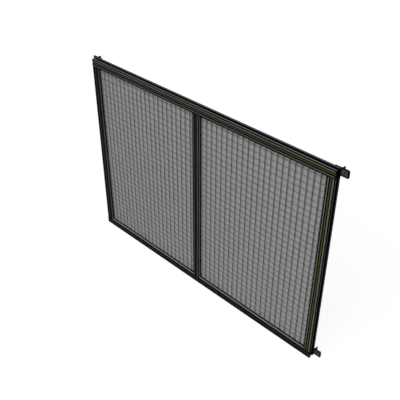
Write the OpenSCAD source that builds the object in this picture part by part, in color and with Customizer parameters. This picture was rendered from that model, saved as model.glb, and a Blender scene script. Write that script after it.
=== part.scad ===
// Machine guard fence panel: a frame of slotted aluminium bars with a centre
// mullion, wire mesh over a thin sheet in both bays, cover strips in the front
// slots, and four hanging brackets behind the corners.
// Millimetres. X runs along the panel, Y runs from its front to its back, Z up.
// The origin is the middle of the lower left bracket's long hole, on the
// bracket's back face, where the panel meets its post.

/* [Panel] */
// Width of the frame, outside to outside
panel_w = 1200; // [900:50:1500]
// Height of the frame, outside to outside
panel_h = 830; // [580:50:1080]

/* [Frame bar] */
// Side of the square bar
bar_side = 30; // [28:1:34]
// Radius of the bar's outer corners
corner_r = 1.5; // [0.5:0.25:3]
// Thickness of the lips at each slot's mouth
lip_t = 2.5; // [2:0.25:3]
// Width of each slot behind its lips
cavity_w = 16; // [14:0.5:17]
// Depth of each slot, from the bar's face to the slot's floor
slot_depth = 9.2; // [8:0.2:10]
// Thickness of the four diagonal webs
web_t = 2; // [1:0.25:2.5]
// Diameter of the bore along the bar's core
core_bore_d = 6.8; // [5:0.2:7.4]
// Side of the square hollow in each corner of the bar
corner_hollow = 3; // [2:0.25:3.5]
// Wall outside each corner hollow
corner_wall = 1.8; // [1.2:0.2:2.4]

/* [Mesh] */
// Diameter of the mesh wires
wire_d = 3; // [2:0.25:4]
// Spacing of the mesh wires, both ways
pitch = 25; // [20:1:50]
// How far crossing wires are sunk into each other by the weld
weld_sink = 0.4; // [0.2:0.1:0.8]
// How far the mesh and the sheet reach into the slots
infill_grip = 8; // [5:0.5:8.5]

/* [Sheet] */
// Thickness of the sheet behind the mesh
sheet_t = 2; // [1.5:0.25:3]

/* [Cover strips] */
// Thickness of a cover strip's face
strip_t = 1.2; // [0.8:0.1:1.6]
// How far a cover strip's face sits below the bar's face
strip_recess = 0.8; // [0.2:0.1:1]
// Thickness of a cover strip's two legs
strip_leg_t = 1; // [0.6:0.1:1.2]
// How far the barb on each leg stands out
barb_out = 0.8; // [0.4:0.1:1.2]
// Height of the barb on each leg
barb_h = 1.4; // [0.8:0.1:2]
// How far the legs stand in from the edges of the strip's face
leg_inset = 0.2; // [0.1:0.1:0.6]

/* [Brackets] */
// Thickness of a bracket's walls
bracket_t = 3; // [2:0.5:5]
// Height of a bracket
bracket_h = 30; // [24:1:34]
// How far the bracket's ear stands out past the frame's side
ear_w = 29; // [28:1:45]
// Radius of the ear's corners
ear_r = 6; // [2:0.5:7]
// Length of the bracket's foot, on the back of the frame
foot_w = 28; // [26:1:50]
// How far the bracket's rib stands out behind its plate
rib_depth = 14.5; // [10:0.5:20]
// Radius of the rib's corners
rib_r = 5; // [3:0.5:8]
// Width of the long hole in the ear
long_hole_w = 7; // [6:0.5:9]
// Length of the long hole in the ear, end to end
long_hole_l = 13; // [10:0.5:14]
// Distance from the frame's side to the middle of the long hole
long_hole_out = 18; // [16:0.5:20]
// Diameter of the screw hole in the bracket's foot
foot_hole_d = 7; // [5:0.5:9]
// Distance from the frame's side to that screw hole
foot_hole_in = 15; // [12:0.5:18]

/* [Slot nuts] */
// Length of a slot nut
nut_l = 16; // [12:1:22]
// Diameter of the nut's tapped hole before tapping
nut_hole_d = 5; // [3.2:0.2:6]

/* [Clearances] */
// Clearance between the mesh and the front lips
mesh_clear = 0.1; // [0.05:0.05:0.3]
// Clearance between the mesh and the sheet
sheet_clear = 0.3; // [0.2:0.05:0.5]
// Clearance between a cover strip and its slot
strip_clear = 0.1; // [0.05:0.05:0.3]
// Clearance between a slot nut and its slot
nut_clear = 0.3; // [0.2:0.05:0.5]
// Gap between a slot nut and the lips it is pulled against
nut_lip_gap = 0.1; // [0.05:0.05:0.2]
// Gap between a slot nut and the floor of its slot
nut_floor_gap = 1; // [0.5:0.25:2]

/* [Hidden] */
$fn = 48;
wire_sides = 6;
cut_over = 1; // how far a cut runs past the face it opens

// Slot mouth: takes the two wires, the sheet and their clearances
mouth_w = 2 * wire_d - weld_sink + sheet_t + mesh_clear + sheet_clear;
half = bar_side / 2;
floor_half = cavity_w / 2 - (slot_depth - lip_t) + cavity_straight();
function cavity_straight() = half - lip_t - cavity_w / 2 - web_t / sqrt(2);

// Places of the members
bay_w = (panel_w - 3 * bar_side) / 2;
bay_h = panel_h - 2 * bar_side;
left_bay_x = bar_side;
right_bay_x = 2 * bar_side + bay_w;
mullion_x = bar_side + bay_w;

// Depths of the infill, from the frame's front
mesh_front = half - mouth_w / 2 + mesh_clear;
upright_wire_y = mesh_front + wire_d / 2;
cross_wire_y = upright_wire_y + wire_d - weld_sink;
sheet_front = half + mouth_w / 2 - sheet_t;

function wire_count(span) = round(span / pitch) - 1;
function first_wire(span) = (span - (wire_count(span) - 1) * pitch) / 2;

aluminium = "#4a4a4c";
yellow = "#8c8a2e";
wire_grey = "#3c3c3e";
smoke = "#8a8a8c";
zinc = "#6c6c70";

// Puts the frame's front lower left corner where the origin needs it
module in_place() {
    translate([long_hole_out, -bar_side - bracket_t, -half]) children();
}

// One slot of the bar, its mouth upwards
module slot_shape() {
    mouth = mouth_w / 2;
    wide = cavity_w / 2;
    under_lip = half - lip_t;
    shoulder = under_lip - cavity_straight();
    bottom = half - slot_depth;
    polygon([
        [mouth, half + cut_over], [mouth, under_lip], [wide, under_lip], [wide, shoulder],
        [floor_half, bottom], [-floor_half, bottom],
        [-wide, shoulder], [-wide, under_lip], [-mouth, under_lip], [-mouth, half + cut_over]
    ]);
}

module bar_outline() {
    square([bar_side, bar_side - 2 * corner_r], center = true);
    square([bar_side - 2 * corner_r, bar_side], center = true);
    for (x = [-1, 1], y = [-1, 1])
        translate([x * (half - corner_r), y * (half - corner_r)]) circle(r = corner_r);
}

module bar_section() {
    hollow_at = half - corner_wall - corner_hollow / 2;
    difference() {
        bar_outline();
        for (turn = [0 : 90 : 270]) rotate(turn) slot_shape();
        circle(d = core_bore_d);
        for (x = [-1, 1], y = [-1, 1])
            translate([x * hollow_at, y * hollow_at]) square(corner_hollow, center = true);
    }
}

// Turns a shape extruded upwards so that it runs along X, its own Y upwards
module along_x() {
    rotate([90, 0, 90]) children();
}

module upright(length) {
    translate([half, half, 0]) linear_extrude(length) bar_section();
}

module rail(z) {
    color(aluminium) in_place()
        translate([0, half, z + half]) along_x() linear_extrude(panel_w) bar_section();
}

module stile(x) {
    color(aluminium) in_place() translate([x, 0, bar_side]) upright(bay_h);
}

// Cover strip's section: its face downwards at Y = 0, the bar's front face
module strip_section() {
    face = mouth_w / 2 - strip_clear;
    leg_out = face - leg_inset;
    leg_in = leg_out - strip_leg_t;
    back = strip_recess + strip_t;
    catch = lip_t + strip_clear;
    polygon([
        [-face, strip_recess], [face, strip_recess], [face, back], [leg_out, back],
        [leg_out, catch], [leg_out + barb_out, catch], [leg_out, catch + barb_h],
        [leg_in, catch + barb_h], [leg_in, back],
        [-leg_in, back], [-leg_in, catch + barb_h],
        [-leg_out, catch + barb_h], [-leg_out - barb_out, catch], [-leg_out, catch],
        [-leg_out, back], [-face, back]
    ]);
}

module rail_strip(z) {
    color(yellow) in_place() translate([0, 0, z + half])
        along_x() linear_extrude(panel_w) rotate(-90) strip_section();
}

module stile_strip(x) {
    color(yellow) in_place() translate([x + half, 0, bar_side])
        linear_extrude(bay_h) strip_section();
}

// Wires are bars of few sides with their flats to the front and back
module wire(length) {
    rotate(180 / wire_sides) cylinder(d = wire_d, h = length, $fn = wire_sides);
}

// Half of one bay's mesh: part is 0 for the lower half and 1 for the upper
module mesh(bay_x, part) {
    across = wire_count(bay_w);
    rows = wire_count(bay_h);
    lower_rows = floor(rows / 2);
    split = first_wire(bay_h) + (lower_rows - 0.5) * pitch;
    from = part == 0 ? -infill_grip : split;
    to = part == 0 ? split : bay_h + infill_grip;
    first_row = part == 0 ? 0 : lower_rows;
    last_row = part == 0 ? lower_rows - 1 : rows - 1;
    color(wire_grey) in_place() translate([bay_x, 0, bar_side]) union() {
        for (i = [0 : across - 1])
            translate([first_wire(bay_w) + i * pitch, upright_wire_y, from]) wire(to - from);
        for (i = [first_row : last_row])
            translate([-infill_grip, cross_wire_y, first_wire(bay_h) + i * pitch])
                rotate([0, 90, 0]) rotate(90) wire(bay_w + 2 * infill_grip);
    }
}

module sheet(bay_x) {
    color(smoke) in_place()
        translate([bay_x - infill_grip, sheet_front, bar_side - infill_grip])
            cube([bay_w + 2 * infill_grip, sheet_t, bay_h + 2 * infill_grip]);
}

// Rectangle from x0 to x1, centred in height, with its corners at x1 rounded
module tongue(x0, x1, height, r) {
    translate([x0, -height / 2]) square([x1 - x0 - r, height]);
    translate([x0, -height / 2 + r]) square([x1 - x0, height - 2 * r]);
    for (side = [-1, 1]) translate([x1 - r, side * (height / 2 - r)]) circle(r = r);
}

// A bracket for the right side: X = 0 at the frame's side, Y = 0 at the
// frame's back, Z = 0 at the middle of its height
module bracket_shape() {
    hole_run = (long_hole_l - long_hole_w) / 2;
    rotate([90, 0, 0]) mirror([0, 0, 1]) linear_extrude(bracket_t) difference() {
        union() {
            tongue(0, ear_w, bracket_h, ear_r);
            mirror([1, 0]) tongue(0, foot_w, bracket_h, ear_r);
        }
        translate([long_hole_out, 0]) {
            square([2 * hole_run, long_hole_w], center = true);
            for (end = [-1, 1]) translate([end * hole_run, 0]) circle(d = long_hole_w);
        }
        translate([-foot_hole_in, 0]) circle(d = foot_hole_d);
    }
    translate([0, bracket_t, 0]) along_x() linear_extrude(bracket_t)
        tongue(0, rib_depth, bracket_h, rib_r);
}

// side is 0 for the left and 1 for the right; z is the middle of the rail
module bracket(side, z) {
    color(zinc) in_place() translate([side * panel_w, bar_side, z])
        mirror([1 - side, 0, 0]) bracket_shape();
}

// Slot nut's section: its neck upwards, in the middle of the bar
module nut_section() {
    neck = mouth_w / 2 - nut_clear;
    wide = cavity_w / 2 - nut_clear;
    under_lip = half - lip_t - nut_lip_gap;
    shoulder = half - lip_t - cavity_straight() + nut_clear;
    bottom = half - slot_depth + nut_floor_gap;
    slope_end = wide - (shoulder - bottom);
    polygon([
        [neck, half - nut_clear], [neck, under_lip], [wide, under_lip], [wide, shoulder],
        [slope_end, bottom], [-slope_end, bottom],
        [-wide, shoulder], [-wide, under_lip], [-neck, under_lip], [-neck, half - nut_clear]
    ]);
}

module slot_nuts() {
    color(zinc) in_place()
        for (x = [foot_hole_in, panel_w - foot_hole_in], z = [half, panel_h - half])
            translate([x, half, z]) difference() {
                translate([-nut_l / 2, 0, 0]) along_x() linear_extrude(nut_l)
                    rotate(-90) nut_section();
                rotate([-90, 0, 0]) cylinder(d = nut_hole_d, h = bar_side);
            }
}

rail(panel_h - bar_side);  // top_rail
rail(0);  // bottom_rail
stile(0);  // left_stile
stile(panel_w - bar_side);  // right_stile
stile(mullion_x);  // mullion
rail_strip(panel_h - bar_side);  // top_cover_strip
rail_strip(0);  // bottom_cover_strip
stile_strip(0);  // left_cover_strip
stile_strip(panel_w - bar_side);  // right_cover_strip
stile_strip(mullion_x);  // mullion_cover_strip
mesh(left_bay_x, 0);  // left_mesh_lower
mesh(left_bay_x, 1);  // left_mesh_upper
mesh(right_bay_x, 0);  // right_mesh_lower
mesh(right_bay_x, 1);  // right_mesh_upper
sheet(left_bay_x);  // left_sheet
sheet(right_bay_x);  // right_sheet
bracket(0, half);  // bracket_lower_left
bracket(1, half);  // bracket_lower_right
bracket(0, panel_h - half);  // bracket_upper_left
bracket(1, panel_h - half);  // bracket_upper_right
slot_nuts();
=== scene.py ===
from math import cos, pi, radians, sin

import bmesh
import bpy
from mathutils import Matrix, Vector


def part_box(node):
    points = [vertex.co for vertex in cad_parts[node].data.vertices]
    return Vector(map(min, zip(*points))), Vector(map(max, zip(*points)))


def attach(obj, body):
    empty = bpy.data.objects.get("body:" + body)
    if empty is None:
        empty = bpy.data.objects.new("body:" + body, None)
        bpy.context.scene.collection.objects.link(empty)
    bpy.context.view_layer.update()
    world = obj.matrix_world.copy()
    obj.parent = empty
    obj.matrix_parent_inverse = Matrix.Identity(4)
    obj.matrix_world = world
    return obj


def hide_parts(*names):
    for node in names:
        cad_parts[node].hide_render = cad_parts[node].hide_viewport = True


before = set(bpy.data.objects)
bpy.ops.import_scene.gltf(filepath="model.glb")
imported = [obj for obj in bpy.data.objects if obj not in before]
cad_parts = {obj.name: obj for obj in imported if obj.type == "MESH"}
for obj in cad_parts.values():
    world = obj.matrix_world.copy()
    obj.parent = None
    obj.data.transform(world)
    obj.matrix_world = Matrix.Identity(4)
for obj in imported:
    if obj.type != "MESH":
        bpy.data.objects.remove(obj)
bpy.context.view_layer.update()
bpy.context.scene.view_settings.view_transform = "Standard"

# ---------------------------------------------------------------------------------------------
# Frame bars: two full-width rails, two side uprights and the centre upright between them.
# They are extruded slotted aluminium, etched to a satin skin and dyed dark grey in the anodising
# bath. The saw cuts butt together, with hidden fasteners in the cores.
# ---------------------------------------------------------------------------------------------
MM = 0.001
bar_side = 30 * MM
slot_mouth = 8 * MM
bar_grey = "#5a5a5b"
# near-black painted shade for the bars' corners, slot mouths and slot insides, also used for the
# dark joints at the saw cuts
edge_shade_black = "#020202"
# the black of the painted shade sets in between a pair's two distances: down from a bar's faces,
# and in from its cuts
slot_shade_depths = (0.5 * MM, 0.9 * MM)
cut_darkening = (1.8 * MM, 0.8 * MM)
shade_line_blur_mm = 0.4
# die lines and etching are really far finer, and are drawn as coarse as they need to show
die_line_gap = 1.6 * MM
die_line_stretch = 0.012
etch_grain = 0.55 * MM
bath_patch = 110 * MM
nick_gap = 6.7 * MM


def linear(hex_colour):
    """Turns an sRGB hex colour to the linear values that a node takes."""
    parts = [int(hex_colour[i:i + 2], 16) / 255 for i in (1, 3, 5)]
    parts = [p / 12.92 if p <= 0.04045 else ((p + 0.055) / 1.055) ** 2.4 for p in parts]
    return (*parts, 1.0)


def put(tree, kind, settings=None, links=None):
    """
    Adds a node. A link's source is a socket, or a node, which then gives its first output.
    A Mix node's sockets go by number: 6 and 7 are its two colours, and 2 and 3 its two floats.
    """
    made = tree.nodes.new(kind)
    for key, value in (settings or {}).items():
        if isinstance(key, str) and hasattr(made, key):
            setattr(made, key, value)
        else:
            made.inputs[key].default_value = value
    for socket, source in (links or {}).items():
        if isinstance(source, bpy.types.Node):
            source = source.outputs[0]
        tree.links.new(source, made.inputs[socket])
    return made


def empty_tree(owner):
    owner.use_nodes = True
    owner.node_tree.nodes.clear()
    return owner.node_tree


def new_material(name):
    """Gives a material, its node tree and its Object coordinates."""
    material = bpy.data.materials.new(name)
    tree = empty_tree(material)
    coords = put(tree, "ShaderNodeTexCoord").outputs["Object"]
    return material, tree, coords


def from_middle(tree, coords, node_name, signed):
    """Gives the way from a piece's middle along each axis, with its sign or without it."""
    low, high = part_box(node_name)
    way = put(tree, "ShaderNodeMapping", {"Location": tuple(-(low + high) / 2)},
              {"Vector": coords})
    if not signed:
        way = put(tree, "ShaderNodeVectorMath", {"operation": "ABSOLUTE"}, {0: way})
    return put(tree, "ShaderNodeSeparateXYZ", links={"Vector": way}).outputs


def half_length(node_name, axis):
    low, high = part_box(node_name)
    return (high - low)["XYZ".index(axis)] / 2


def finish_surface(tree, settings, colour, roughness, height, strength, depth):
    """Ends a material: its colour and roughness, and bumps of the given strength and depth."""
    bump = put(tree, "ShaderNodeBump", {"Strength": strength, "Distance": depth},
               {"Height": height})
    shader = put(tree, "ShaderNodeBsdfPrincipled", settings,
                 {"Base Color": colour, "Roughness": roughness, "Normal": bump})
    put(tree, "ShaderNodeOutputMaterial", links={"Surface": shader})


def painted_shade_lines(tree, coords, node_name, runs_along, front_shade_lines, side_shade_lines):
    """
    Gives where a bar is painted black as shade, and which faces are its front and back. Each set
    of painted shade lines is how far the black reaches, in millimetres: from the low or the back
    corner, from the high or the front corner, and from the slot. The second set is that of the
    faces to either side. The slot insides are painted shade as well, and the saw cuts are dark
    joint lines with painted shade on the open ends.
    """
    signed = from_middle(tree, coords, node_name, signed=True)
    unsigned = from_middle(tree, coords, node_name, signed=False)
    width_axis = "Z" if runs_along == "X" else "X"
    sideways = unsigned[width_axis]
    depthways = unsigned["Y"]
    on_front = put(tree, "ShaderNodeMath", {"operation": "GREATER_THAN"},
                   {0: depthways, 1: sideways})
    # the painted shade lines' three reaches travel as the red, green and blue of one colour
    line_reaches = put(tree, "ShaderNodeMix", {"data_type": "RGBA", 6: (*side_shade_lines, 1.0),
                                       7: (*front_shade_lines, 1.0)}, {"Factor": on_front})
    reach = put(tree, "ShaderNodeSeparateColor", links={"Color": line_reaches.outputs[2]})
    forwards = put(tree, "ShaderNodeMath", {"operation": "MULTIPLY", 1: -1.0}, {0: signed["Y"]})
    towards = put(tree, "ShaderNodeMix", {"data_type": "FLOAT"},
                  {"Factor": on_front, 2: forwards, 3: signed[width_axis]})
    high_side = put(tree, "ShaderNodeMath", {"operation": "GREATER_THAN", 1: 0.0}, {0: towards})
    corner_reach = put(tree, "ShaderNodeMix", {"data_type": "FLOAT"},
                       {"Factor": high_side, 2: reach.outputs["Red"], 3: reach.outputs["Green"]})
    # a face is clear of black where it lies past both the corner's reach and the slot's
    half_side = bar_side / 2
    across = put(tree, "ShaderNodeMath", {"operation": "MINIMUM"}, {0: sideways, 1: depthways})
    across_mm = put(tree, "ShaderNodeMath", {"operation": "MULTIPLY", 1: 1 / MM}, {0: across})
    from_corner = put(tree, "ShaderNodeMath", {"operation": "SUBTRACT", 0: half_side / MM},
                      {1: across_mm})
    past_corner = put(tree, "ShaderNodeMath", {"operation": "SUBTRACT"},
                      {0: from_corner, 1: corner_reach})
    from_mouth = put(tree, "ShaderNodeMath", {"operation": "SUBTRACT", 1: slot_mouth / 2 / MM},
                     {0: across_mm})
    past_mouth = put(tree, "ShaderNodeMath", {"operation": "SUBTRACT"},
                     {0: from_mouth, 1: reach.outputs["Blue"]})
    clear = put(tree, "ShaderNodeMath", {"operation": "MINIMUM"}, {0: past_corner, 1: past_mouth})
    edges = put(tree, "ShaderNodeMapRange",
                {"interpolation_type": "SMOOTHSTEP", "From Min": shade_line_blur_mm,
                 "From Max": -shade_line_blur_mm}, {"Value": clear})
    # the insides of the slots are painted black all over as shade, and so are the saw cuts, as
    # dark joint lines with painted shade on the open ends
    half_run = half_length(node_name, runs_along)
    outward = put(tree, "ShaderNodeMath", {"operation": "MAXIMUM"}, {0: sideways, 1: depthways})
    slots = put(tree, "ShaderNodeMapRange",
                {"interpolation_type": "SMOOTHSTEP", "From Min": half_side - slot_shade_depths[0],
                 "From Max": half_side - slot_shade_depths[1]}, {"Value": outward})
    cuts = put(tree, "ShaderNodeMapRange",
               {"interpolation_type": "SMOOTHSTEP", "From Min": half_run - cut_darkening[0],
                "From Max": half_run - cut_darkening[1]}, {"Value": unsigned[runs_along]})
    hollows = put(tree, "ShaderNodeMath", {"operation": "MAXIMUM"}, {0: slots, 1: cuts})
    shade_and_joint_black = put(tree, "ShaderNodeMath", {"operation": "MAXIMUM"}, {0: edges, 1: hollows})
    return shade_and_joint_black, on_front


def anodised_aluminium(node_name, runs_along, face_lights, front_shade_lines, side_shade_lines):
    """The lightness numbers are painted light and shade: how light the bar's front and back are
    painted, and its other two sides.
    """
    # anodising takes the metal's gleam away and leaves an even satin sheen over its die lines. The
    # near-black at the corners and slot mouths is painted shade, which leaves a painted highlight
    # band along each lip, and how light each face is, is painted light and shade
    material, tree, coords = new_material("dark_anodised_aluminium_" + node_name)
    shade_and_joint_black, on_front = painted_shade_lines(tree, coords, node_name, runs_along, front_shade_lines, side_shade_lines)
    # die lines: streaks along the bar
    stretch = tuple(die_line_stretch if axis == runs_along else 1.0 for axis in "XYZ")
    drawn = put(tree, "ShaderNodeMapping", {"Scale": stretch}, {"Vector": coords})
    streaks = put(tree, "ShaderNodeTexNoise", {"Scale": 1 / die_line_gap, "Detail": 3.0,
                                               "Roughness": 0.6}, {"Vector": drawn})
    patches = put(tree, "ShaderNodeTexNoise", {"Scale": 1 / bath_patch, "Detail": 4.0,
                                               "Roughness": 0.55}, {"Vector": coords})
    etch = put(tree, "ShaderNodeTexNoise", {"Scale": 1 / etch_grain, "Detail": 2.0},
               {"Vector": coords})
    streak_tone = put(tree, "ShaderNodeMapRange", {"From Min": 0.3, "From Max": 0.7,
                                                   "To Min": 0.86, "To Max": 1.12},
                      {"Value": streaks})
    patch_tone = put(tree, "ShaderNodeMapRange", {"From Min": 0.3, "From Max": 0.7,
                                                  "To Min": -0.07, "To Max": 0.07},
                     {"Value": patches})
    # nicks: spots of 2 to 3 mm where handling has rubbed the dye off
    nicks = put(tree, "ShaderNodeTexNoise", {"Scale": 1 / nick_gap, "Detail": 4.0,
                                             "Roughness": 0.6}, {"Vector": coords})
    nick_tone = put(tree, "ShaderNodeMapRange", {"From Min": 0.66, "From Max": 0.72,
                                                 "To Max": 0.5}, {"Value": nicks})
    mottle = put(tree, "ShaderNodeMath", {"operation": "ADD"}, {0: patch_tone, 1: nick_tone})
    marks = put(tree, "ShaderNodeMath", {"operation": "ADD"}, {0: streak_tone, 1: mottle})
    # painted light and shade: each face is made lighter or darker by its own number
    painted_face_light = put(tree, "ShaderNodeMapRange", {"To Min": face_lights[1], "To Max": face_lights[0]},
              {"Value": on_front})
    tone = put(tree, "ShaderNodeMath", {"operation": "MULTIPLY"}, {0: marks, 1: painted_face_light})
    skin = put(tree, "ShaderNodeMix", {"data_type": "RGBA", "blend_type": "MULTIPLY",
                                       "Factor": 1.0, 6: linear(bar_grey)}, {7: tone})
    # painted shade lines in near-black over the skin
    coat = put(tree, "ShaderNodeMix", {"data_type": "RGBA", 7: linear(edge_shade_black)},
               {"Factor": shade_and_joint_black, 6: skin.outputs[2]})
    satin = put(tree, "ShaderNodeMapRange", {"From Min": 0.25, "From Max": 0.75,
                                             "To Min": 0.40, "To Max": 0.52}, {"Value": patches})
    height = put(tree, "ShaderNodeMath", {"operation": "MULTIPLY_ADD", 1: 0.45},
                 {0: etch, 2: streaks})
    finish_surface(tree, {"Metallic": 0.1, "Specular IOR Level": 0.0}, coat.outputs[2], satin,
                   height, strength=0.35, depth=0.04 * MM)
    return material


def dress(node_name, material):
    """Gives the material to every slot of a solid."""
    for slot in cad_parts[node_name].material_slots:
        slot.material = material


# each bar's faces carry painted light and shade of their own: the numbers are how light its front
# and back are painted and its other two sides, then the painted shade lines of its front and back
# and those of its other two sides
for node_name, runs_along, face_lights, front_shade_lines, side_shade_lines in (
        ("top_rail", "X", (0.9, 1.0), (4.5, 3.2, 3.1), (4.5, 3.2, 2.8)),
        ("bottom_rail", "X", (0.14, 2.4), (4.6, 3.4, 3.0), (3.0, 1.8, 4.2)),
        ("left_stile", "Z", (0.12, 1.5), (4.6, 3.4, 3.0), (2.8, 2.8, 3.4)),
        ("right_stile", "Z", (1.05, 1.0), (4.6, 2.9, 2.9), (4.4, 4.6, 4.2)),
        ("mullion", "Z", (0.62, 1.6), (5.0, 2.6, 3.2), (2.8, 3.0, 3.2))):
    dress(node_name, anodised_aluminium(node_name, runs_along, face_lights, front_shade_lines, side_shade_lines))

# ---------------------------------------------------------------------------------------------
# Cover strips: extruded polypropylene in a dull olive yellow, with soft black edges either side of
# the yellow line painted on as the shadow of the slot lips. They are pressed into the front slots
# until their barbs catch behind the lips.
# ---------------------------------------------------------------------------------------------
strip_yellow = "#4d4c19"
lip_shadow_black = "#050504"
lip_shadow_blur = 0.3 * MM
smear_size = 28 * MM
# the die leaves a far finer grain, drawn coarser so that it shows
strip_grain = 1.1 * MM


def extruded_polypropylene(node_name, runs_along, yellow_half, painted_shade):
    """The painted shade runs evenly from its first level at the low end to its second at the high
    end.
    """
    # polypropylene comes from the die with a dull, waxy sheen, and grime blackens it in smears; an
    # even painted shade darkens some strips along their length
    width_axis = "Z" if runs_along == "X" else "X"
    material, tree, coords = new_material("two_tone_polypropylene_" + node_name)
    signed = from_middle(tree, coords, node_name, signed=True)
    unsigned = from_middle(tree, coords, node_name, signed=False)
    # the black either side of the yellow line is painted shadow of the slot lips
    lip_shadow = put(tree, "ShaderNodeMapRange",
                     {"interpolation_type": "SMOOTHSTEP", "From Min": yellow_half - lip_shadow_blur,
                      "From Max": yellow_half + lip_shadow_blur}, {"Value": unsigned[width_axis]})
    smears = put(tree, "ShaderNodeTexNoise", {"Scale": 1 / smear_size, "Detail": 5.0,
                                              "Roughness": 0.6}, {"Vector": coords})
    grain = put(tree, "ShaderNodeTexNoise", {"Scale": 1 / strip_grain, "Detail": 2.0},
                {"Vector": coords})
    smear_dust = put(tree, "ShaderNodeMapRange", {"From Min": 0.55, "From Max": 0.8,
                                                  "To Max": 0.3}, {"Value": smears})
    half_run = half_length(node_name, runs_along)
    # painted shade: an even darkening along the strip
    shade_along = put(tree, "ShaderNodeMapRange",
               {"From Min": -half_run, "From Max": half_run, "To Min": painted_shade[0],
                "To Max": painted_shade[1]}, {"Value": signed[runs_along]})
    marked_and_shaded = put(tree, "ShaderNodeMath", {"operation": "ADD", "use_clamp": True},
                 {0: smear_dust, 1: shade_along})
    dark = put(tree, "ShaderNodeMath", {"operation": "MAXIMUM"}, {0: lip_shadow, 1: marked_and_shaded})
    colour = put(tree, "ShaderNodeMix", {"data_type": "RGBA", 6: linear(strip_yellow),
                                         7: linear(lip_shadow_black)}, {"Factor": dark})
    sheen = put(tree, "ShaderNodeMapRange", {"From Min": 0.3, "From Max": 0.7,
                                             "To Min": 0.42, "To Max": 0.60}, {"Value": smears})
    finish_surface(tree, {"IOR": 1.50, "Specular IOR Level": 0.05}, colour.outputs[2], sheen,
                   grain, strength=0.3, depth=0.04 * MM)
    return material


# the numbers are half the yellow line's width, then the painted shade at the low and at the high
# end
for node_name, runs_along, yellow_half, painted_shade in (
        ("top_cover_strip", "X", 1.3 * MM, (0.6, 0.0)),
        ("bottom_cover_strip", "X", 0.8 * MM, (0.6, 0.6)),
        ("left_cover_strip", "Z", 0.8 * MM, (0.5, 0.5)),
        ("right_cover_strip", "Z", 1.3 * MM, (0.0, 0.0)),
        ("mullion_cover_strip", "Z", 0.5 * MM, (0.92, 0.92))):
    dress(node_name, extruded_polypropylene(node_name, runs_along, yellow_half, painted_shade))

# ---------------------------------------------------------------------------------------------
# Welded mesh: round 3 mm steel wires on a 25 mm square pitch, the uprights in front. Each
# crossing is resistance welded, so the wires sink 0.4 mm into each other and a small flash
# shows round the weld. The mesh is powder coated after welding, in satin dark grey.
# ---------------------------------------------------------------------------------------------
wire_diameter = 3 * MM
mesh_pitch = 25 * MM
weld_sink = 0.4 * MM
upright_wires = 21
cross_wires = 30
wire_sides = 12
# a weld's bead: its radius as a share of the wire's diameter, and its thickness as a share of
# its width
bead_share = 0.62
bead_flatness = 0.42
wire_grey = "#3c3c3c"
# the dust colour also paints the upper sides of the cross wires, as painted top light
wire_dust_and_top_light = "#747474"
orange_peel_size = 1.4 * MM
dust_patch = 42 * MM


def tree_input(tree, name, kind, value=None):
    """Adds a named input and gives the identifier by which a modifier sets it."""
    socket = tree.interface.new_socket(name, in_out="INPUT", socket_type=kind)
    if value is not None:
        socket.default_value = value
    return socket.identifier


def wire_row(tree, given, section, length, span, count, step_axis, run_axis, depth):
    """Gives straight wires that step along one axis, run along the other and lie at the depth."""
    begin = put(tree, "ShaderNodeMath", {"operation": "MULTIPLY", 1: -0.5}, {0: span})
    first = put(tree, "ShaderNodeCombineXYZ", links={step_axis: begin, **depth})
    step = put(tree, "ShaderNodeCombineXYZ", links={step_axis: given["Pitch"]})
    points = put(tree, "GeometryNodeMeshLine", {"mode": "OFFSET"},
                 {"Count": given[count], "Start Location": first, "Offset": step})
    low_end = put(tree, "ShaderNodeMath", {"operation": "MULTIPLY", 1: -0.5}, {0: given[length]})
    high_end = put(tree, "ShaderNodeMath", {"operation": "MULTIPLY", 1: 0.5}, {0: given[length]})
    start = put(tree, "ShaderNodeCombineXYZ", links={run_axis: low_end})
    end = put(tree, "ShaderNodeCombineXYZ", links={run_axis: high_end})
    axis_line = put(tree, "GeometryNodeCurvePrimitiveLine", links={"Start": start, "End": end})
    wire = put(tree, "GeometryNodeCurveToMesh", {"Fill Caps": True},
               {"Curve": axis_line, "Profile Curve": section})
    return put(tree, "GeometryNodeInstanceOnPoints", links={"Points": points, "Instance": wire})


def weld_flash(tree, given, spans, apart):
    """Gives a flattened bead in each crossing, halfway between the two rows' axes."""
    grid = put(tree, "GeometryNodeMeshGrid",
               links={"Size X": spans["Upright wires"], "Size Y": spans["Cross wires"],
                      "Vertices X": given["Upright wires"], "Vertices Y": given["Cross wires"]})
    bead_radius = put(tree, "ShaderNodeMath", {"operation": "MULTIPLY", 1: bead_share},
                      {0: given["Wire diameter"]})
    bead = put(tree, "GeometryNodeMeshUVSphere", {"Segments": 8, "Rings": 5},
               {"Radius": bead_radius})
    flat = put(tree, "GeometryNodeTransform", {"Scale": (1.0, 1.0, bead_flatness)},
               {"Geometry": bead})
    beads = put(tree, "GeometryNodeInstanceOnPoints", links={"Points": grid, "Instance": flat})
    seat_depth = put(tree, "ShaderNodeMath", {"operation": "MULTIPLY", 1: 0.5}, {0: apart})
    seat = put(tree, "ShaderNodeCombineXYZ", links={"Y": seat_depth})
    return put(tree, "GeometryNodeTransform", {"Rotation": (pi / 2, 0.0, 0.0)},
               {"Geometry": beads, "Translation": seat})


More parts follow.
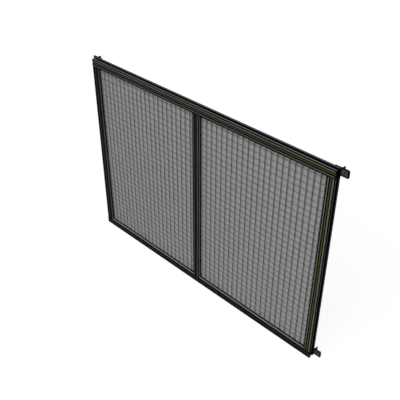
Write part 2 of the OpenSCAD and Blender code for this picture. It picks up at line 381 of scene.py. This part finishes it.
def welded_mesh_tree():
    """Makes one bay's mesh round the origin, with the uprights' axes at Y = 0."""
    tree = bpy.data.node_groups.new("welded_mesh", "GeometryNodeTree")
    names = {
        "wire": tree_input(tree, "Wire diameter", "NodeSocketFloat", wire_diameter),
        "pitch": tree_input(tree, "Pitch", "NodeSocketFloat", mesh_pitch),
        "sink": tree_input(tree, "Weld sink", "NodeSocketFloat", weld_sink),
        "across": tree_input(tree, "Upright wires", "NodeSocketInt", upright_wires),
        "rows": tree_input(tree, "Cross wires", "NodeSocketInt", cross_wires),
        "width": tree_input(tree, "Width", "NodeSocketFloat", 0.5),
        "height": tree_input(tree, "Height", "NodeSocketFloat", 0.5),
        "coat": tree_input(tree, "Coat", "NodeSocketMaterial"),
    }
    tree.interface.new_socket("Geometry", in_out="OUTPUT", socket_type="NodeSocketGeometry")
    given = put(tree, "NodeGroupInput").outputs
    radius = put(tree, "ShaderNodeMath", {"operation": "MULTIPLY", 1: 0.5},
                 {0: given["Wire diameter"]})
    apart = put(tree, "ShaderNodeMath", {"operation": "SUBTRACT"},
                {0: given["Wire diameter"], 1: given["Weld sink"]})
    section = put(tree, "GeometryNodeCurvePrimitiveCircle", {"Resolution": wire_sides},
                  {"Radius": radius})
    joined = put(tree, "GeometryNodeJoinGeometry")
    spans = {}
    # the uprights step along X and stand along Z; the cross wires lie behind, the other way
    for count, length, step_axis, run_axis, depth in (
            ("Upright wires", "Height", "X", "Z", {}),
            ("Cross wires", "Width", "Z", "X", {"Y": apart})):
        steps = put(tree, "ShaderNodeMath", {"operation": "SUBTRACT", 1: 1.0}, {0: given[count]})
        spans[count] = put(tree, "ShaderNodeMath", {"operation": "MULTIPLY"},
                           {0: steps, 1: given["Pitch"]})
        row = wire_row(tree, given, section, length, spans[count], count, step_axis, run_axis,
                       depth)
        tree.links.new(row.outputs["Instances"], joined.inputs["Geometry"])
    beads = weld_flash(tree, given, spans, apart)
    tree.links.new(beads.outputs["Geometry"], joined.inputs["Geometry"])
    real = put(tree, "GeometryNodeRealizeInstances", links={"Geometry": joined})
    coated = put(tree, "GeometryNodeSetMaterial",
                 links={"Geometry": real, "Material": given["Coat"]})
    put(tree, "NodeGroupOutput", links={"Geometry": coated})
    return tree, names


def powder_coated_wire():
    # powder flows out in the oven to an even satin skin with a slight orange peel
    material, tree, coords = new_material("grey_powder_coated_wire")
    orange_peel = put(tree, "ShaderNodeTexNoise", {"Scale": 1 / orange_peel_size, "Detail": 2.0},
                      {"Vector": coords})
    dust = put(tree, "ShaderNodeTexNoise", {"Scale": 1 / dust_patch, "Detail": 5.0,
                                            "Roughness": 0.65}, {"Vector": coords})
    patchy = put(tree, "ShaderNodeMapRange", {"From Min": 0.45, "From Max": 0.75, "To Max": 0.35},
                 {"Value": dust})
    # the upper sides of the cross wires are painted lighter in the dust colour as painted top
    # light, while random patches of that colour are real dust
    facing = put(tree, "ShaderNodeNewGeometry").outputs["Normal"]
    upward = put(tree, "ShaderNodeSeparateXYZ", links={"Vector": facing}).outputs["Z"]
    painted_top_light = put(tree, "ShaderNodeMapRange", {"From Max": 0.6, "To Max": 0.85},
                  {"Value": upward})
    dust_and_top_light = put(tree, "ShaderNodeMath", {"operation": "MAXIMUM"}, {0: patchy, 1: painted_top_light})
    colour = put(tree, "ShaderNodeMix", {"data_type": "RGBA", 6: linear(wire_grey),
                                         7: linear(wire_dust_and_top_light)}, {"Factor": dust_and_top_light})
    satin = put(tree, "ShaderNodeMapRange", {"From Min": 0.3, "From Max": 0.7,
                                             "To Min": 0.38, "To Max": 0.55}, {"Value": dust})
    finish_surface(tree, {"IOR": 1.50}, colour.outputs[2], satin, orange_peel,
                   strength=0.3, depth=0.05 * MM)
    return material


def add_object(name, data):
    made = bpy.data.objects.new(name, data)
    bpy.context.scene.collection.objects.link(made)
    return made


def plain_mesh(name, start, tree, sockets, values):
    """Runs a Geometry Nodes tree on a mesh and keeps what it makes as a plain mesh object."""
    maker = add_object(name + "_maker", start)
    modifier = maker.modifiers.new("maker", "NODES")
    modifier.node_group = tree
    for key, value in values.items():
        modifier[sockets[key]] = value
    bpy.context.view_layer.update()
    result = maker.evaluated_get(bpy.context.evaluated_depsgraph_get())
    made = add_object(name, bpy.data.meshes.new_from_object(result))
    bpy.data.objects.remove(maker)
    return made


mesh_tree, mesh_sockets = welded_mesh_tree()
wire_coat = powder_coated_wire()
for side in ("left", "right"):
    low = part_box(side + "_mesh_lower")[0]
    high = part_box(side + "_mesh_upper")[1]
    panel_mesh = plain_mesh(
        side + "_welded_mesh", bpy.data.meshes.new(side + "_start"), mesh_tree, mesh_sockets,
        {"wire": wire_diameter, "pitch": mesh_pitch, "sink": weld_sink, "across": upright_wires,
         "rows": cross_wires, "width": high.x - low.x, "height": high.z - low.z,
         "coat": wire_coat})
    # the solids' wires have six sides with a flat to the front, half a wire * cos 30 off centre
    front_wire = low.y + wire_diameter / 2 * cos(pi / 6)
    panel_mesh.data.transform(Matrix.Translation(((low.x + high.x) / 2, front_wire,
                                                  (low.z + high.z) / 2)))
    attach(panel_mesh, "root")
    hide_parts(side + "_mesh_lower", side + "_mesh_upper")

# ---------------------------------------------------------------------------------------------
# Infill sheets: 2 mm opaque polycarbonate in smoke grey, sawn to size and slid into the slots
# behind the mesh. The faces are satin, with handling marks that show most on the bare back.
# Painted black shade lies on the front along the bars, most of all under the top rail.
# ---------------------------------------------------------------------------------------------
sheet_grey = "#8a8a8a"
# black of the painted shade along the bars
shade_black = "#0e0e0e"
shade_blur = 2 * MM
cloud_size = 250 * MM
speck_gap = 3.8 * MM
rub_length = 110 * MM
rub_width = 4.3 * MM
rub_slant = radians(28)
back_wear = 3.5
# the satin's grain is really far finer, and is drawn coarser so that it shows
satin_grain = 0.7 * MM


def painted_edge_shade(tree, place, low, high, left, right, bottom, top):
    """Gives where painted shade lies on a face: about the given length in from each edge of the
    box.
    """
    # each edge's painted shade fades over its limit, and the blackest of the four shows
    painted_shade = None
    for axis, limit, blur in (("X", low.x + left, shade_blur), ("X", high.x - right, -shade_blur),
                              ("Z", low.z + bottom, shade_blur), ("Z", high.z - top, -shade_blur)):
        edge = put(tree, "ShaderNodeMapRange",
                   {"interpolation_type": "SMOOTHSTEP", "From Min": limit + blur,
                    "From Max": limit - blur}, {"Value": place[axis]})
        if painted_shade:
            edge = put(tree, "ShaderNodeMath", {"operation": "MAXIMUM"}, {0: painted_shade, 1: edge})
        painted_shade = edge
    return painted_shade


def satin_sheet(node_name, **shade_reaches):
    """The reaches are how far the painted shade comes in from the left, right, bottom and top
    edges.
    """
    # a satin face scatters what falls on it, so it shows soft clouds and no clear reflections
    low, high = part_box(node_name)
    material, tree, coords = new_material("smoke_grey_polycarbonate_" + node_name)
    place = put(tree, "ShaderNodeSeparateXYZ", links={"Vector": coords}).outputs
    clouds = put(tree, "ShaderNodeTexNoise", {"Scale": 1 / cloud_size, "Detail": 5.0,
                                              "Roughness": 0.55}, {"Vector": coords})
    specks = put(tree, "ShaderNodeTexNoise", {"Scale": 1 / speck_gap, "Detail": 3.0},
                 {"Vector": coords})
    grain = put(tree, "ShaderNodeTexNoise", {"Scale": 1 / satin_grain, "Detail": 2.0},
                {"Vector": coords})
    cloud_tone = put(tree, "ShaderNodeMapRange", {"From Min": 0.3, "From Max": 0.7,
                                                  "To Min": -0.03, "To Max": 0.02},
                     {"Value": clouds})
    speck_tone = put(tree, "ShaderNodeMapRange", {"From Min": 0.6, "From Max": 0.8,
                                                  "To Max": -0.05}, {"Value": specks})
    # rub marks: pale slanting lines, from sliding the sheet into its slots
    strokes = (1 / rub_length, 1.0, 1 / rub_width)
    slanted = put(tree, "ShaderNodeMapping", {"Rotation": (0.0, rub_slant, 0.0),
                                              "Scale": strokes}, {"Vector": coords})
    rubs = put(tree, "ShaderNodeTexNoise", {"Scale": 1.0, "Detail": 3.0, "Roughness": 0.6},
               {"Vector": slanted})
    rubbed = put(tree, "ShaderNodeMapRange", {"From Min": 0.60, "From Max": 0.74,
                                              "To Max": 0.06}, {"Value": rubs})
    marks = put(tree, "ShaderNodeMath", {"operation": "ADD"}, {0: speck_tone, 1: rubbed})
    wear = put(tree, "ShaderNodeMath", {"operation": "ADD"}, {0: cloud_tone, 1: marks})
    in_front = put(tree, "ShaderNodeMath", {"operation": "LESS_THAN", 1: (low.y + high.y) / 2},
                   {0: place["Y"]})
    amount = put(tree, "ShaderNodeMapRange", {"To Min": back_wear, "To Max": 1.0},
                 {"Value": in_front})
    tone = put(tree, "ShaderNodeMath", {"operation": "MULTIPLY_ADD", 2: 1.0},
               {0: wear, 1: amount})
    colour = put(tree, "ShaderNodeMix", {"data_type": "RGBA", "blend_type": "MULTIPLY",
                                         "Factor": 1.0, 6: linear(sheet_grey)}, {7: tone})
    satin = put(tree, "ShaderNodeMapRange", {"From Min": 0.3, "From Max": 0.7,
                                             "To Min": 0.46, "To Max": 0.62}, {"Value": clouds})
    # painted shade: black on the front along the bars, widest under the top rail
    painted_shade = painted_edge_shade(tree, place, low, high, **shade_reaches)
    front_shade = put(tree, "ShaderNodeMath", {"operation": "MULTIPLY"}, {0: painted_shade, 1: in_front})
    marked_and_shaded = put(tree, "ShaderNodeMix", {"data_type": "RGBA", 7: linear(shade_black)},
                 {"Factor": front_shade, 6: colour.outputs[2]})
    finish_surface(tree, {"IOR": 1.58, "Specular IOR Level": 0.25}, marked_and_shaded.outputs[2], satin,
                   grain, strength=0.2, depth=0.03 * MM)
    return material


dress("left_sheet", satin_sheet("left_sheet", left=3.5 * MM, right=28 * MM,
                                bottom=3.5 * MM, top=23 * MM))
dress("right_sheet", satin_sheet("right_sheet", left=5.5 * MM, right=21 * MM,
                                 bottom=3.5 * MM, top=23 * MM))

# ---------------------------------------------------------------------------------------------
# Corner brackets and slot nuts: pressed steel plate 3 mm thick with a welded rib, and milled
# steel nuts in the back slots. Both are zinc plated, the brackets in a dark grey passivate, with a
# near-black rim of painted shade round the sides of each plate.
# ---------------------------------------------------------------------------------------------
bracket_grey = "#525254"
rim_shade_black = "#030303"
nut_grey = "#8a8a8e"
# the painted rim shade turns black between these two distances in from a bracket's sides
rim_shade_fade = (6.0 * MM, 4.5 * MM)
stain_size = 17 * MM
# the plating's grain is drawn coarser than it is, so that it shows
plating_grain = 0.6 * MM


def zinc_plate(name, tint, metal, blotch_size, shade_rim_node=None):
    """Where a rim piece is given, a black rim of painted shade runs round that piece."""
    # passivated zinc shows small blotches and faint stains under a satin sheen
    material, tree, coords = new_material(name)
    blotches = put(tree, "ShaderNodeTexVoronoi", {"Scale": 1 / blotch_size, "Randomness": 1.0},
                   {"Vector": coords})
    patch = put(tree, "ShaderNodeRGBToBW", links={"Color": blotches.outputs["Color"]})
    cloud = put(tree, "ShaderNodeTexNoise", {"Scale": 1 / stain_size, "Detail": 4.0},
                {"Vector": coords})
    grain = put(tree, "ShaderNodeTexNoise", {"Scale": 1 / plating_grain, "Detail": 2.0},
                {"Vector": coords})
    patch_tone = put(tree, "ShaderNodeMapRange", {"From Min": 0.2, "From Max": 0.8,
                                                  "To Min": 0.92, "To Max": 1.06},
                     {"Value": patch})
    cloud_tone = put(tree, "ShaderNodeMapRange", {"From Min": 0.3, "From Max": 0.7,
                                                  "To Min": -0.08, "To Max": 0.06},
                     {"Value": cloud})
    tone = put(tree, "ShaderNodeMath", {"operation": "ADD"}, {0: patch_tone, 1: cloud_tone})
    colour = put(tree, "ShaderNodeMix", {"data_type": "RGBA", "blend_type": "MULTIPLY",
                                         "Factor": 1.0, 6: linear(tint)}, {7: tone})
    if shade_rim_node:
        unsigned = from_middle(tree, coords, shade_rim_node, signed=False)
        bands = {}
        for axis in "XZ":
            half = half_length(shade_rim_node, axis)
            bands[axis] = put(tree, "ShaderNodeMapRange",
                              {"interpolation_type": "SMOOTHSTEP", "From Min": half - rim_shade_fade[0],
                               "From Max": half - rim_shade_fade[1]}, {"Value": unsigned[axis]})
        # painted shade: a black rim round the plate's sides
        rim_shade = put(tree, "ShaderNodeMath", {"operation": "MAXIMUM"},
                  {0: bands["X"], 1: bands["Z"]})
        colour = put(tree, "ShaderNodeMix", {"data_type": "RGBA", 7: linear(rim_shade_black)},
                     {"Factor": rim_shade, 6: colour.outputs[2]})
    satin = put(tree, "ShaderNodeMapRange", {"From Min": 0.3, "From Max": 0.7,
                                             "To Min": 0.38, "To Max": 0.55}, {"Value": cloud})
    finish_surface(tree, {"Metallic": metal, "Specular IOR Level": 0.05}, colour.outputs[2],
                   satin, grain, strength=0.3, depth=0.04 * MM)
    return material


for corner_name in ("lower_left", "lower_right", "upper_left", "upper_right"):
    node_name = "bracket_" + corner_name
    dress(node_name, zinc_plate("dark_zinc_" + corner_name, bracket_grey, metal=0.2,
                                blotch_size=0.9 * MM, shade_rim_node=node_name))
dress("slot_nuts", zinc_plate("bright_zinc_nuts", nut_grey, metal=0.9, blotch_size=0.7 * MM))

# ---------------------------------------------------------------------------------------------
# Screws and washers: M6 button heads with a hexagon socket, each on a plain washer. One holds
# each bracket to a nut in the back slot, and one stands in each ear's long hole, ready for the
# post. The screws are pressed steel in dark zinc plate, and the washers stamped, in black.
# ---------------------------------------------------------------------------------------------
screw_grey = "#454547"
washer_black = "#131314"
ear_screw_length = 14 * MM
foot_screw_length = 9 * MM
head_diameter = 10.5 * MM
head_height = 3.3 * MM
head_rim = 0.5 * MM
dome_angle = radians(62)
dome_steps = 4
dome_squareness = 0.9
socket_across = 4 * MM
socket_depth = 2.1 * MM
washer_diameter = 16 * MM
washer_hole = 6.4 * MM
washer_thickness = 1.2 * MM
washer_bevel = 0.15 * MM
shank_diameter = 6 * MM
shank_bevel = 0.7 * MM
round_sides = 24
turn_seed = 7


def turned_piece(name, rings, socket_top=None):
    """Joins rings of (radius, height), closed upon themselves or ended by a hexagon socket."""
    mesh = bmesh.new()
    corners = [2 * pi * i / round_sides for i in range(round_sides)]
    loops = [[mesh.verts.new((radius * cos(turn), radius * sin(turn), height))
              for turn in corners] for radius, height in rings]
    if socket_top is None:
        loops.append(loops[0])
    else:
        # the socket's rim and its floor have as many points as the head's last ring
        for height in (socket_top, socket_top - socket_depth):
            loop = []
            for turn in corners:
                from_flat = (turn + pi / 6) % (pi / 3) - pi / 6
                reach = socket_across / 2 / cos(from_flat)
                loop.append(mesh.verts.new((reach * cos(turn), reach * sin(turn), height)))
            loops.append(loop)
        mesh.faces.new(list(reversed(loops[0])))
        mesh.faces.new(loops[-1])
    for lower, upper in zip(loops, loops[1:]):
        for i in range(round_sides):
            j = (i + 1) % round_sides
            mesh.faces.new((lower[i], lower[j], upper[j], upper[i]))
    data = bpy.data.meshes.new(name)
    mesh.to_mesh(data)
    mesh.free()
    return add_object(name, data)


def screw(name, shank_length):
    """Stands on the origin with its washer's underside at Z = 0 and its head upwards."""
    rings = [
        (shank_diameter / 2 - shank_bevel, -shank_length),
        (shank_diameter / 2, -shank_length + shank_bevel),
        (shank_diameter / 2, washer_thickness),
        (head_diameter / 2, washer_thickness),
        (head_diameter / 2, washer_thickness + head_rim),
    ]
    for step in range(1, dome_steps + 1):
        turn = step / dome_steps * dome_angle
        rise = (head_height - head_rim) * sin(turn) / sin(dome_angle)
        rings.append((head_diameter / 2 * cos(turn) ** dome_squareness,
                      washer_thickness + head_rim + rise))
    return turned_piece(name, rings, washer_thickness + head_height)


def washer(name):
    return turned_piece(name, [
        (washer_hole / 2, 0.0),
        (washer_diameter / 2 - washer_bevel, 0.0),
        (washer_diameter / 2, washer_bevel),
        (washer_diameter / 2, washer_thickness - washer_bevel),
        (washer_diameter / 2 - washer_bevel, washer_thickness),
        (washer_hole / 2, washer_thickness)])


def fixing_tree():
    """Sets a sample on each point, tilted to face the front or the back and turned at random."""
    tree = bpy.data.node_groups.new("fixings", "GeometryNodeTree")
    tree.interface.new_socket("Geometry", in_out="INPUT", socket_type="NodeSocketGeometry")
    names = {
        "sample": tree_input(tree, "Sample", "NodeSocketObject"),
        "tilt": tree_input(tree, "Tilt", "NodeSocketFloat", 0.0),
        "seed": tree_input(tree, "Seed", "NodeSocketInt", turn_seed),
        "plating": tree_input(tree, "Plating", "NodeSocketMaterial"),
    }
    tree.interface.new_socket("Geometry", in_out="OUTPUT", socket_type="NodeSocketGeometry")
    given = put(tree, "NodeGroupInput").outputs
    source = put(tree, "GeometryNodeObjectInfo", links={"Object": given["Sample"]})
    # a hexagon looks the same after a sixth of a turn; sockets 2 and 3 are the draw's limits
    spin = put(tree, "FunctionNodeRandomValue", {"data_type": "FLOAT", 2: 0.0, 3: pi / 3},
               {"Seed": given["Seed"]})
    tilt = put(tree, "ShaderNodeCombineXYZ", links={"X": given["Tilt"]})
    placed = put(tree, "GeometryNodeInstanceOnPoints",
                 links={"Points": given["Geometry"], "Instance": source.outputs["Geometry"],
                        "Rotation": tilt})
    spun = put(tree, "ShaderNodeCombineXYZ", links={"Z": spin.outputs[1]})
    turned = put(tree, "GeometryNodeRotateInstances", links={"Instances": placed,
                                                             "Rotation": spun})
    real = put(tree, "GeometryNodeRealizeInstances", links={"Geometry": turned})
    plated = put(tree, "GeometryNodeSetMaterial",
                 links={"Geometry": real, "Material": given["Plating"]})
    put(tree, "NodeGroupOutput", links={"Geometry": plated})
    return tree, names


screw_plating = zinc_plate("grey_zinc_screws", screw_grey, metal=0.6, blotch_size=0.5 * MM)
washer_plating = zinc_plate("black_zinc_washers", washer_black, metal=0.2, blotch_size=0.5 * MM)
fixings_tree, fixing_sockets = fixing_tree()
# from the frame's sides out to the ears' screws and in to the feet's screws
ear_out = 18 * MM
foot_in = 15 * MM
plate_thickness = 3 * MM
frame_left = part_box("left_stile")[0].x
frame_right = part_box("right_stile")[1].x
ears_x = (frame_left - ear_out, frame_right + ear_out)
feet_x = (frame_left + foot_in, frame_right - foot_in)
# the bottom rail's middle lies at Z = 0
rail_middles = (0.0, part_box("top_rail")[1].z - bar_side / 2)
long_screw = screw("long_screw", ear_screw_length)
short_screw = screw("short_screw", foot_screw_length)
plain_washer = washer("plain_washer")
# the brackets' backs lie at Y = 0. The ears' screws face the front, and the feet's the back.
for name, sample, places_x, seat_y, tilt, plating in (
        ("ear_screws", long_screw, ears_x, -plate_thickness, pi / 2, screw_plating),
        ("ear_washers", plain_washer, ears_x, -plate_thickness, pi / 2, washer_plating),
        ("foot_screws", short_screw, feet_x, 0.0, -pi / 2, screw_plating),
        ("foot_washers", plain_washer, feet_x, 0.0, -pi / 2, washer_plating)):
    places = bpy.data.meshes.new(name + "_places")
    places.from_pydata([(x, seat_y, z) for x in places_x for z in rail_middles], [], [])
    fixings = plain_mesh(name, places, fixings_tree, fixing_sockets,
                         {"sample": sample, "tilt": tilt, "seed": turn_seed, "plating": plating})
    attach(fixings, "root")
for sample in (long_screw, short_screw, plain_washer):
    bpy.data.objects.remove(sample)

# ---------------------------------------------------------------------------------------------
# Studio: a pale floor under the bottom rail, soft lights from the front, above, the right and
# behind, and a camera beyond the panel's upper right corner, at equal angles to its three sides.
# ---------------------------------------------------------------------------------------------
floor_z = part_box("bottom_rail")[0].z
floor_half = 12.0
floor_mesh = bpy.data.meshes.new("studio_floor")
floor_mesh.from_pydata([(-floor_half, -floor_half, floor_z), (floor_half, -floor_half, floor_z),
                        (floor_half, floor_half, floor_z), (-floor_half, floor_half, floor_z)],
                       [], [(0, 1, 2, 3)])
studio_floor = add_object("studio_floor", floor_mesh)
floor_paint = bpy.data.materials.new("studio_floor")
floor_tree = empty_tree(floor_paint)
world = bpy.data.worlds.new("studio_world")
backdrop_tree = empty_tree(world)
bpy.context.scene.world = world
shown = {}
for tree in (floor_tree, backdrop_tree):
    ray = put(tree, "ShaderNodeLightPath").outputs
    seen = put(tree, "ShaderNodeMath", {"operation": "MAXIMUM"},
               {0: ray["Is Camera Ray"], 1: ray["Is Glossy Ray"]})
    shown[tree] = put(tree, "ShaderNodeMath", {"operation": "MAXIMUM"},
                      {0: seen, 1: ray["Is Transmission Ray"]})
# floor: a matt part that takes the shadow and an added part that only the eye sees
floor_matt = 0.14
floor_added = 0.88
matt = put(floor_tree, "ShaderNodeBsdfDiffuse",
           {"Color": (floor_matt, floor_matt, floor_matt, 1.0)})
floor_level = put(floor_tree, "ShaderNodeMath", {"operation": "MULTIPLY", 1: floor_added},
                  {0: shown[floor_tree]})
glow = put(floor_tree, "ShaderNodeEmission", {"Color": linear("#ffffff")},
           {"Strength": floor_level})
both = put(floor_tree, "ShaderNodeAddShader", links={0: matt, 1: glow})
put(floor_tree, "ShaderNodeOutputMaterial", links={"Surface": both})
floor_mesh.materials.append(floor_paint)
# backdrop: white to the eye, a low even level on the panel
even_level = 0.25
level = put(backdrop_tree, "ShaderNodeMath",
            {"operation": "MULTIPLY_ADD", 1: 1.0 - even_level, 2: even_level},
            {0: shown[backdrop_tree]})
backdrop = put(backdrop_tree, "ShaderNodeBackground", {"Color": linear("#ffffff")},
               {"Strength": level})
put(backdrop_tree, "ShaderNodeOutputWorld", links={"Surface": backdrop})

# each light is as wide in the sky as its last number, in degrees, for soft shadows
for name, from_direction, strength, width in (
        ("front_light", (-0.35, -1.0, 0.35), 1.75, 60),
        ("top_light", (-0.10, -0.80, 1.0), 1.6, 50),
        ("side_light", (1.0, -0.15, 0.30), 1.3, 50),
        ("back_light", (-0.30, 1.0, 0.40), 1.2, 80)):
    lamp_data = bpy.data.lights.new(name, "SUN")
    lamp_data.energy = strength
    lamp_data.angle = radians(width)
    lamp = add_object(name, lamp_data)
    lamp.rotation_mode = "QUATERNION"
    lamp.rotation_quaternion = Vector(from_direction).to_track_quat("Z", "Y")

camera_data = bpy.data.cameras.new("camera")
camera_data.sensor_width = 36.0
camera_data.lens = 57.45
camera_data.clip_start = 0.05
camera_data.clip_end = 60.0
camera = add_object("camera", camera_data)
# the camera stands 2.5 m from the panel's middle
camera.location = (2.06738, -1.45892, 1.84810)
camera.rotation_mode = "QUATERNION"
camera.rotation_quaternion = Vector((-1.0, 1.0, -1.0)).to_track_quat("-Z", "Y")
bpy.context.scene.camera = camera
